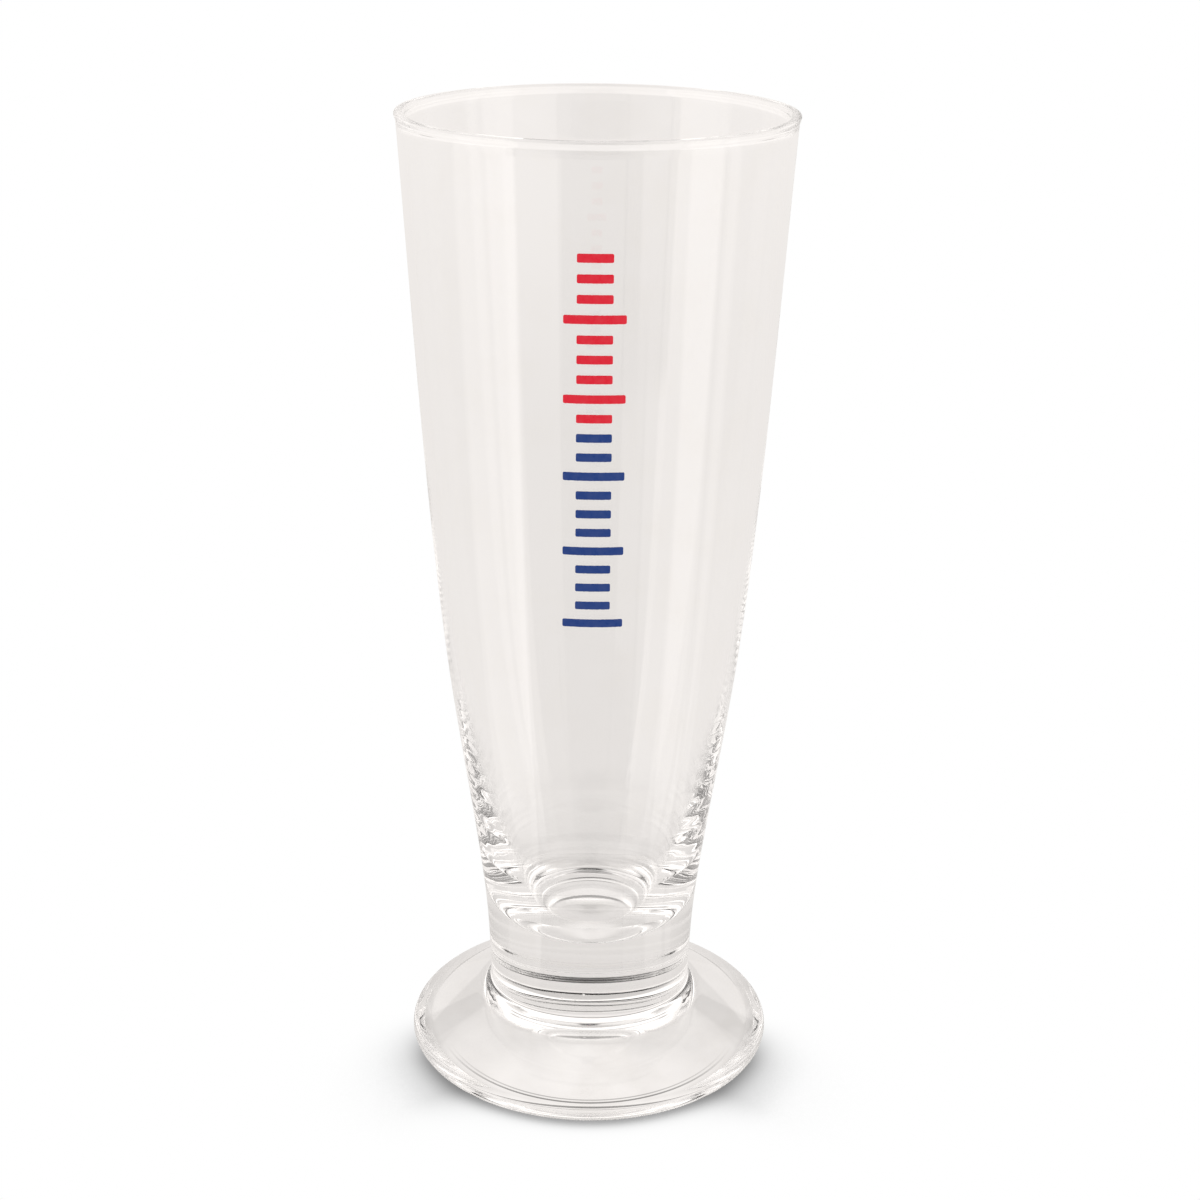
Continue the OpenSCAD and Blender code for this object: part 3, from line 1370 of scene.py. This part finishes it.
    def waves(self, points: np.ndarray, segments: int) -> np.ndarray:
        """Ripples of the neck and of the lower inner wall.

        Args:
            points: The section.
            segments: Number of steps round the axis.

        Returns:
            Change of the radius at each point and step.
        """
        heights = points[:, 1]
        outside = points[:, 0] > self.outer(heights) - self.lip_proud
        inside = ~outside & (heights > self.corner_h)
        neck = self.neck_ripples.field(heights - self.joint_h, segments)
        chill = self.inside.field(heights, segments)
        return np.where(outside[:, None], neck, np.where(inside[:, None], chill, 0.0))

    def build(self, materials: Iterable[bpy.types.Material]) -> bpy.types.Object:
        """Turns the bowl and seats it in place of its CAD node."""
        points = self.section()
        turned = Profile(points[:, 0], points[:, 1], (0,))
        solid = turned.turn(self.waves(points, turned.segments))
        made = solid.object("bowl_glass", materials)
        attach(made, "root")
        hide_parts("bowl")
        return made


@dataclass
class PrintedScale:
    """Bars of one colour, printed on the front of the bowl.

    Attributes:
        name: Name of the piece.
        node: CAD node that it stands for.
        slot: Name of the enamel's material slot; not used.
        bowl: The bowl that carries it.
        first: Number of the lowest bar, counted from the bottom of the whole scale.
        count: Number of bars.
        base_h: Height of the lowest bar of the whole scale.
        bar_t: Height of a bar.
        pitch: Distance from one bar to the next.
        long_steps: Steps of the scale from one long bar to the next.
        thickness: Thickness of the enamel.
        seat: Clearance between enamel and glass.
        corner_r: Radius of the corners.
        edge_soft: Width over which the enamel thins at its edge.
        edge_share: Share of the thickness that is left at the very edge.
        ragged: Unevenness of the printed edge.
        seed: Seed of that unevenness, to which the number of the bar is added.
    """

    name: str
    node: str
    slot: str
    bowl: Bowl
    first: int
    count: int
    base_h: float = 98.0
    bar_t: float = 1.5
    pitch: float = 3.4
    long_steps: int = 4
    thickness: float = 0.06
    seat: float = 0.004
    corner_r: float = 0.28
    edge_soft: float = 0.16
    edge_share: float = 0.25
    ragged: float = 0.012
    seed: int = 100

    def length(self, number: int) -> float:
        """Length of one bar."""
        return (Bar.SHORT if number % self.long_steps else Bar.LONG).value

    def bar(self, solid: Solid, number: int, columns: int = 72, rows: int = 13) -> None:
        """Adds one bar, bent round the wall, with rounded corners and a soft ragged edge.

        Args:
            solid: The piece that takes the bar.
            number: Number of the bar, counted from the bottom of the whole scale.
            columns: Points along the bar.
            rows: Points across the bar.
        """
        random = np.random.default_rng(self.seed + number)
        half = self.length(number) / 2.0
        along = half * np.sin(np.linspace(-0.5, 0.5, columns) * math.pi)
        across = np.sin(np.linspace(-0.5, 0.5, rows) * math.pi)
        past = np.clip(np.abs(along) - (half - self.corner_r), 0.0, self.corner_r)
        tall = self.bar_t / 2.0 - self.corner_r + np.sqrt(self.corner_r**2 - past**2)
        rough = random.normal(0.0, self.ragged, (2, columns))
        edge = np.where(across[None, :] < 0.0, rough[0][:, None], rough[1][:, None])
        rise = (tall[:, None] + edge) * across[None, :]
        inset = np.minimum(tall[:, None] * (1.0 - np.abs(across[None, :])), half - np.abs(along)[:, None])
        full = np.sqrt(np.clip(inset / self.edge_soft, 0.0, 1.0))
        coat = self.thickness * (self.edge_share + (1.0 - self.edge_share) * full)
        heights = self.base_h + self.pitch * number + self.bar_t / 2.0 + rise
        wall = self.bowl.outer(heights) + self.seat
        turn = along[:, None] / wall - 0.5 * math.pi
        start = len(solid.points)
        for radius in (wall + coat, wall):
            grid = np.stack((radius * np.cos(turn), radius * np.sin(turn), heights), axis=-1)
            solid.points.extend(map(tuple, grid.reshape(-1, 3)))
        self.skin(solid, start, columns, rows)

    def skin(self, solid: Solid, start: int, columns: int, rows: int) -> None:
        """Closes the faces of one bar between its outer and its inner grid.

        Args:
            solid: The piece that takes the bar.
            start: Place of the bar's first vertex.
            columns: Points along the bar.
            rows: Points across the bar.
        """
        under = start + columns * rows
        for i in range(columns - 1):
            for j in range(rows - 1):
                a, b = i * rows + j, (i + 1) * rows + j
                solid.face((start + a, start + b, start + b + 1, start + a + 1))
                solid.face((under + a + 1, under + b + 1, under + b, under + a))
            low, low_next = i * rows, (i + 1) * rows
            high, high_next = low + rows - 1, low_next + rows - 1
            solid.face((under + low, under + low_next, start + low_next, start + low))
            solid.face((under + high_next, under + high, start + high, start + high_next))
        last = (columns - 1) * rows
        for j in range(rows - 1):
            solid.face((under + j + 1, under + j, start + j, start + j + 1))
            solid.face((under + last + j, under + last + j + 1, start + last + j + 1, start + last + j))

    def build(self, materials: Iterable[bpy.types.Material]) -> bpy.types.Object:
        """Lays the bars on the wall in place of their CAD node."""
        solid = Solid()
        for number in range(self.first, self.first + self.count):
            self.bar(solid, number)
        made = solid.object(self.name, materials)
        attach(made, "root")
        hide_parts(self.node)
        return made


@dataclass(frozen=True)
class StripLamp:
    """Upright soft lamp at the side of the table, aimed at the axis of the glass.

    Attributes:
        name: Name of the lamp.
        span: Directions in degrees between which it stands, from the camera's side to the right.
        radiance: Brightness of its face, where white paper in the room is 1.
        distance: Distance in metres from the axis.
        height: Height in metres of its face, which starts at the table.
    """

    name: str
    span: Pair
    radiance: float
    distance: float = 0.3
    height: float = 0.5

    def build(self) -> bpy.types.Object:
        """Makes the lamp."""
        middle = math.radians(sum(self.span) / 2.0)
        width = 2.0 * self.distance * math.tan(math.radians(abs(self.span[1] - self.span[0])) / 2.0)
        lamp = bpy.data.lights.new(self.name, "AREA")
        lamp.shape = "RECTANGLE"
        lamp.size = width
        lamp.size_y = self.height
        lamp.energy = math.pi * width * self.height * self.radiance
        made = bpy.data.objects.new(self.name, lamp)
        made.location = (
            self.distance * math.sin(middle),
            -self.distance * math.cos(middle),
            self.height / 2.0,
        )
        aim = Vector((-made.location.x, -made.location.y, 0.0))
        made.rotation_euler = aim.to_track_quat("-Z", "Y").to_euler()
        made.visible_camera = made.visible_glossy = made.visible_transmission = False
        bpy.context.scene.collection.objects.link(made)
        return made


@dataclass
class Studio:
    """Table, room, lamps and camera.

    Attributes:
        floor: Finish of the table.
        room: The world.
        lamps: Soft strip lamps.
        floor_r: Radius of the table in metres.
        floor_sides: Number of sides of the table's outline.
        floor_drop: Clearance in metres between the table and the standing ring.
        camera_at: Place of the camera in metres.
        pitch: Angle in degrees by which the camera looks down.
        roll: Turn of the camera about its own axis in degrees.
        sensor: Width of the sensor in millimetres.
        lens: Focal length in millimetres.
        near: Shortest distance in metres that the camera sees.
        bounces: Longest path of light through the glass.
    """

    floor: PaleFloor = PaleFloor()
    room: StudioWorld = StudioWorld()
    lamps: tuple[StripLamp, ...] = (
        StripLamp("left_strip", (-88.0, -63.0), 1.0),
        StripLamp("right_strip", (56.0, 91.0), 0.9),
    )
    floor_r: float = 6.0
    floor_sides: int = 96
    floor_drop: float = 0.1e-3
    camera_at: Triple = (0.0013, -0.37713, 0.23554)
    pitch: float = 20.832
    roll: float = 0.617
    sensor: float = 36.0
    lens: float = 64.945
    near: float = 0.01
    bounces: int = 1000

    def lay_floor(self) -> bpy.types.Object:
        """Makes the round table top."""
        solid = Solid()
        angles = round_steps(self.floor_sides)
        solid.face(solid.ring(self.floor_r / MM, -self.floor_drop / MM, angles))
        made = solid.object("floor", (self.floor.material(),))
        return made

    def aim_camera(self) -> bpy.types.Object:
        """Makes the scene's camera."""
        lens = bpy.data.cameras.new("camera")
        lens.sensor_width = self.sensor
        lens.lens = self.lens
        lens.clip_start = self.near
        made = bpy.data.objects.new("camera", lens)
        tilt = Euler((math.pi / 2.0 - math.radians(self.pitch), 0.0, 0.0)).to_matrix().to_4x4()
        turn = Matrix.Rotation(math.radians(self.roll), 4, "Z")
        made.matrix_world = Matrix.Translation(self.camera_at) @ tilt @ turn
        bpy.context.scene.collection.objects.link(made)
        bpy.context.scene.camera = made
        return made

    def build(self) -> None:
        """Sets the table, the room, the lamps and the camera, and the depth of the light's paths."""
        scene = bpy.context.scene
        scene.world = self.room.world()
        scene.view_settings.view_transform = "Standard"
        scene.cycles.max_bounces = self.bounces
        scene.cycles.transmission_bounces = self.bounces
        scene.cycles.glossy_bounces = self.bounces
        scene.cycles.transparent_max_bounces = self.bounces
        self.lay_floor()
        for lamp in self.lamps:
            lamp.build()
        self.aim_camera()


def report(made: bpy.types.Object) -> None:
    """Logs the name and the size of one piece."""
    sides = [round(side / MM, 2) for side in made.dimensions]
    LOG.info("%s: %d faces, %s mm", made.name, len(made.data.polygons), sides)


def main() -> None:
    """Builds the foot, the bowl, the scale and the studio."""
    logging.basicConfig(level=logging.INFO, format="%(name)s %(message)s")
    joint = FusedJoint().material()
    bowl = Bowl.seated()
    foot_glass = ClearGlass(
        "foot_glass", tinted=(0.95, 0.944, 0.934), heavy=(1.0, 1.0, 1.0), cord_depth=2e-6
    )
    bowl_glass = ClearGlass("bowl_glass")
    report(Foot.seated(bowl).build((foot_glass.material(), joint)))
    report(bowl.build((bowl_glass.material(), joint)))
    blue = PrintedScale("blue_scale_print", "blue_scale", "blue_enamel", bowl, first=0, count=11)
    red = PrintedScale("red_scale_print", "red_scale", "red_enamel", bowl, first=blue.count, count=9)
    report(blue.build((FiredEnamel("blue_enamel", Ink.BLUE).material(),)))
    report(red.build((FiredEnamel("red_enamel", Ink.RED).material(),)))
    Studio().build()


if __name__ == "__main__":
    main()
